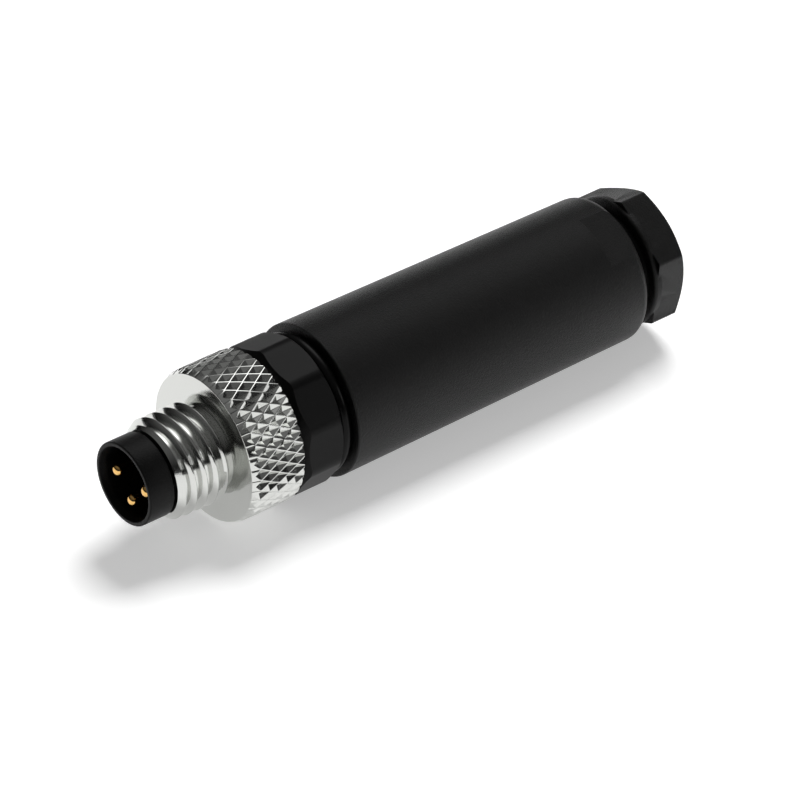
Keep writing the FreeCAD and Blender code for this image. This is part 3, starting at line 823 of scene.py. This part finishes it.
# Turned brass without plating: a dull yellow with faint turning marks.
turned_brass, tree, shader = new_material("turned_brass", "#C9A562", 0.28, metallic=1.0)
add_relief(tree, shader, round_the_axis(tree), width=0.06, depth=0.004, strength=0.3, detail=2.0)
dress("pinch_ring", turned_brass)

# Spring steel as stamped, with a patchy film of oil that makes its gloss uneven. The clamp screws
# share it.
stamped_steel, tree, shader = new_material("stamped_spring_steel", "#8B8B8C", 0.35, metallic=1.0)
place = add_node(tree, "ShaderNodeTexCoord")
film = add_node(tree, "ShaderNodeTexNoise", {"Scale": 1 / (OIL_PATCH_WIDTH * MM), "Detail": 3.0}, {
    "Vector": place.outputs["Object"],
})
gloss = add_node(tree, "ShaderNodeMapRange", {"To Min": OILY_ROUGHNESS, "To Max": DRY_ROUGHNESS}, {
    "Value": film.outputs["Fac"],
})
tree.links.new(gloss.outputs[0], shader.inputs["Roughness"])
for node in ("retaining_ring", "clamp_screw_1", "clamp_screw_3", "clamp_screw_4"):
    dress(node, stamped_steel)


# Studio: the plug lies on a white table, which touches the barrel on the side away from the flat
# of the carrier. A long lens looks down on it, with a broad soft lamp above.
CAMERA_AZIMUTH = 0.35
CAMERA_ELEVATION = 31.03
CAMERA_ROLL = 114.72
CAMERA_DISTANCE = 452.76
CAMERA_TARGET = (-2.849, -0.017, 25.655)
CAMERA_LENS = 270.0
CAMERA_NEAREST = 10.0
CAMERA_FARTHEST = 20000.0
BARREL_MIDDLE = 25.0
TABLE_AZIMUTH = -41.4
TABLE_GAP = 0.02
TABLE_SIZE = 4600.0

azimuth = math.radians(CAMERA_AZIMUTH)
elevation = math.radians(CAMERA_ELEVATION)
backwards = Vector((
    math.sin(azimuth) * math.cos(elevation),
    -math.cos(azimuth) * math.cos(elevation),
    math.sin(elevation),
))
camera_data = bpy.data.cameras.new("camera")
camera = bpy.data.objects.new("camera", camera_data)
bpy.context.scene.collection.objects.link(camera)
camera_data.lens = CAMERA_LENS
camera_data.clip_start = CAMERA_NEAREST * MM
camera_data.clip_end = CAMERA_FARTHEST * MM
camera.rotation_mode = "QUATERNION"
upright = (-backwards).to_track_quat("-Z", "Y")
camera.rotation_quaternion = upright @ Quaternion((0, 0, 1), -math.radians(CAMERA_ROLL))
camera.location = (Vector(CAMERA_TARGET) + backwards * CAMERA_DISTANCE) * MM
bpy.context.scene.camera = camera
bpy.context.view_layer.update()

table_turn = math.radians(TABLE_AZIMUTH)
up = Vector((math.cos(table_turn), math.sin(table_turn), 0))
right = camera.rotation_quaternion @ Vector((1, 0, 0))
toward = right.cross(up).normalized()
right = up.cross(toward).normalized()
centre = Vector((0, 0, BARREL_MIDDLE))

bpy.ops.object.select_all(action="DESELECT")
bpy.ops.mesh.primitive_plane_add(size=TABLE_SIZE * MM)
table = bpy.context.object
table.name = "table"
table.rotation_mode = "QUATERNION"
table.rotation_quaternion = up.to_track_quat("Z", "Y")
table.location = (centre - up * (SLEEVE_FRONT_RADIUS + TABLE_GAP)) * MM

# White table top: plain diffuse to the object, lifted to white for the eye and for reflections, so
# that it keeps only the object's shadow. In reflections it is lifted a little more, a painted
# lightening of its shadow as the plating mirrors it. Far out, where the lamps fade, the lift alone
# makes it white. It is seen from above only.
TABLE_WHITE = "#F2F2F2"
TABLE_LIFT = 0.39
TABLE_LIFT_FAR = 1.0
TABLE_LIFT_MIRRORED = 0.15
FADE_START = 120.0
FADE_END = 700.0
white_table = bpy.data.materials.new("white_table")
white_table.use_nodes = True
tree = white_table.node_tree
tree.nodes.clear()
ray = add_node(tree, "ShaderNodeLightPath")
seen_or_mirrored = add_node(tree, "ShaderNodeMath", links={
    0: ray.outputs["Is Camera Ray"],
    1: ray.outputs["Is Glossy Ray"],
}, operation="ADD", use_clamp=True)
looked_at = add_node(tree, "ShaderNodeMath", links={
    0: seen_or_mirrored.outputs[0],
    1: ray.outputs["Is Transmission Ray"],
}, operation="ADD", use_clamp=True)
place = add_node(tree, "ShaderNodeTexCoord")
distance = add_node(tree, "ShaderNodeVectorMath", links={
    0: place.outputs["Object"],
}, operation="LENGTH")
level = add_node(tree, "ShaderNodeMapRange", {
    "From Min": FADE_START * MM,
    "From Max": FADE_END * MM,
    "To Min": TABLE_LIFT,
    "To Max": TABLE_LIFT_FAR,
}, {"Value": distance.outputs["Value"]}, interpolation_type="SMOOTHSTEP")
# Extra lift for glossy rays only: painted light in the plating's reflection of the table's shade.
mirrored = add_node(tree, "ShaderNodeMath", {1: TABLE_LIFT_MIRRORED}, {
    0: ray.outputs["Is Glossy Ray"],
}, operation="MULTIPLY")
lift = add_node(tree, "ShaderNodeMath", links={
    0: looked_at.outputs[0],
    1: level.outputs[0],
    2: mirrored.outputs[0],
}, operation="MULTIPLY_ADD")
matt = add_node(tree, "ShaderNodeBsdfDiffuse", {"Color": linear(TABLE_WHITE)})
glow = add_node(tree, "ShaderNodeEmission", {"Color": (1, 1, 1, 1)}, {"Strength": lift.outputs[0]})
both = add_node(tree, "ShaderNodeAddShader", links={0: matt.outputs[0], 1: glow.outputs[0]})
side = add_node(tree, "ShaderNodeNewGeometry")
clear = add_node(tree, "ShaderNodeBsdfTransparent")
one_sided = add_node(tree, "ShaderNodeMixShader", links={
    0: side.outputs["Backfacing"],
    1: both.outputs[0],
    2: clear.outputs[0],
})
add_node(tree, "ShaderNodeOutputMaterial", links={"Surface": one_sided.outputs[0]})
table.data.materials.append(white_table)

# Room: white behind everything, and a grey tent round the table, which only the camera sees
# through. The tent glows and lights the plug, dark at the foot and lighter overhead, and a bright
# patch with a soft edge, seen only in reflections, is a painted reflection of the overhead lamp in
# the plating. Places are (right, up, toward the camera).
TENT_RADIUS = 2400.0
TENT_FOOT = "#0A0A0A"
TENT_TOP = "#7C7C7C"
PATCH_PLACE = (180.0, 860.0, -520.0)
PATCH_LEVEL = 2.4
PATCH_FALLOFF = 3.0
PATCH_INNER_ANGLE = 4.0
PATCH_OUTER_ANGLE = 36.0
OVERHEAD_PLACE = (180.0, 900.0, -450.0)
OVERHEAD_SIZE = (480.0, 400.0)
OVERHEAD_POWER = 8.6
SIDE_PLACE = (800.0, 300.0, 120.0)
SIDE_SIZE = (320.0, 300.0)
SIDE_POWER = 0.7
bpy.context.scene.world = bpy.data.worlds.new("white_room")
bpy.context.scene.world.use_nodes = True
bpy.context.scene.world.node_tree.nodes["Background"].inputs["Color"].default_value = (1, 1, 1, 1)
bpy.ops.mesh.primitive_uv_sphere_add(radius=TENT_RADIUS * MM)
tent = bpy.context.object
tent.name = "grey_tent"
tent.rotation_mode = "QUATERNION"
tent.rotation_quaternion = up.to_track_quat("Z", "Y")
tent.location = centre * MM
grey_cloth = bpy.data.materials.new("grey_cloth")
grey_cloth.use_nodes = True
tree = grey_cloth.node_tree
tree.nodes.clear()
place = add_node(tree, "ShaderNodeTexCoord")
parts = add_node(tree, "ShaderNodeSeparateXYZ", links={"Vector": place.outputs["Object"]})
rise = add_node(tree, "ShaderNodeMapRange", {"From Min": 0.0, "From Max": TENT_RADIUS * MM}, {
    "Value": parts.outputs["Z"],
}, interpolation_type="SMOOTHSTEP")
shade = add_node(tree, "ShaderNodeMix", {"A": linear(TENT_FOOT), "B": linear(TENT_TOP)}, data_type="RGBA")
tree.links.new(rise.outputs[0], shade.inputs["Factor"])
toward_patch = right * PATCH_PLACE[0] + up * PATCH_PLACE[1] + toward * PATCH_PLACE[2]
toward_patch = tent.rotation_quaternion.inverted() @ toward_patch.normalized()
direction = add_node(tree, "ShaderNodeVectorMath", links={
    "Vector": place.outputs["Object"],
}, operation="NORMALIZE")
nearness = add_node(tree, "ShaderNodeVectorMath", {1: toward_patch}, {
    0: direction.outputs[0],
}, operation="DOT_PRODUCT")
edge = add_node(tree, "ShaderNodeMapRange", {
    "From Min": math.cos(math.radians(PATCH_OUTER_ANGLE)),
    "From Max": math.cos(math.radians(PATCH_INNER_ANGLE)),
}, {"Value": nearness.outputs["Value"]}, interpolation_type="SMOOTHSTEP")
falloff = add_node(tree, "ShaderNodeMath", {1: PATCH_FALLOFF}, {0: edge.outputs[0]}, operation="POWER")
# The patch is a painted reflection of the overhead lamp: it glows for glossy rays only.
patch = add_node(tree, "ShaderNodeMath", {1: PATCH_LEVEL}, {0: falloff.outputs[0]}, operation="MULTIPLY")
ray = add_node(tree, "ShaderNodeLightPath")
mirrored_patch = add_node(tree, "ShaderNodeMath", links={
    0: patch.outputs[0],
    1: ray.outputs["Is Glossy Ray"],
}, operation="MULTIPLY")
brightness = add_node(tree, "ShaderNodeVectorMath", links={
    0: shade.outputs["Result"],
    1: mirrored_patch.outputs[0],
}, operation="ADD")
cloth = add_node(tree, "ShaderNodeEmission", {"Strength": 1.0}, {"Color": brightness.outputs[0]})
clear = add_node(tree, "ShaderNodeBsdfTransparent")
seen_through = add_node(tree, "ShaderNodeMixShader", links={
    0: ray.outputs["Is Camera Ray"],
    1: cloth.outputs[0],
    2: clear.outputs[0],
})
add_node(tree, "ShaderNodeOutputMaterial", links={"Surface": seen_through.outputs[0]})
tent.data.materials.append(grey_cloth)


def softbox(name, place, size, power):
    """Rectangular lamp aimed at the middle of the barrel."""
    data = bpy.data.lights.new(name, "AREA")
    data.shape = "RECTANGLE"
    data.size = size[0] * MM
    data.size_y = size[1] * MM
    data.energy = power
    lamp = bpy.data.objects.new(name, data)
    bpy.context.scene.collection.objects.link(lamp)
    spot = centre + right * place[0] + up * place[1] + toward * place[2]
    lamp.location = spot * MM
    lamp.rotation_mode = "QUATERNION"
    lamp.rotation_quaternion = (spot - centre).to_track_quat("Z", "Y")
    return lamp


# The overhead lamp is hidden from reflections, where its sharp outline would draw every ridge of
# the knurl in white. The tent's bright patch paints its reflection instead.
overhead = softbox("overhead_softbox", OVERHEAD_PLACE, OVERHEAD_SIZE, OVERHEAD_POWER)
overhead.visible_glossy = False
softbox("side_softbox", SIDE_PLACE, SIDE_SIZE, SIDE_POWER)

bpy.context.scene.view_settings.view_transform = "Standard"
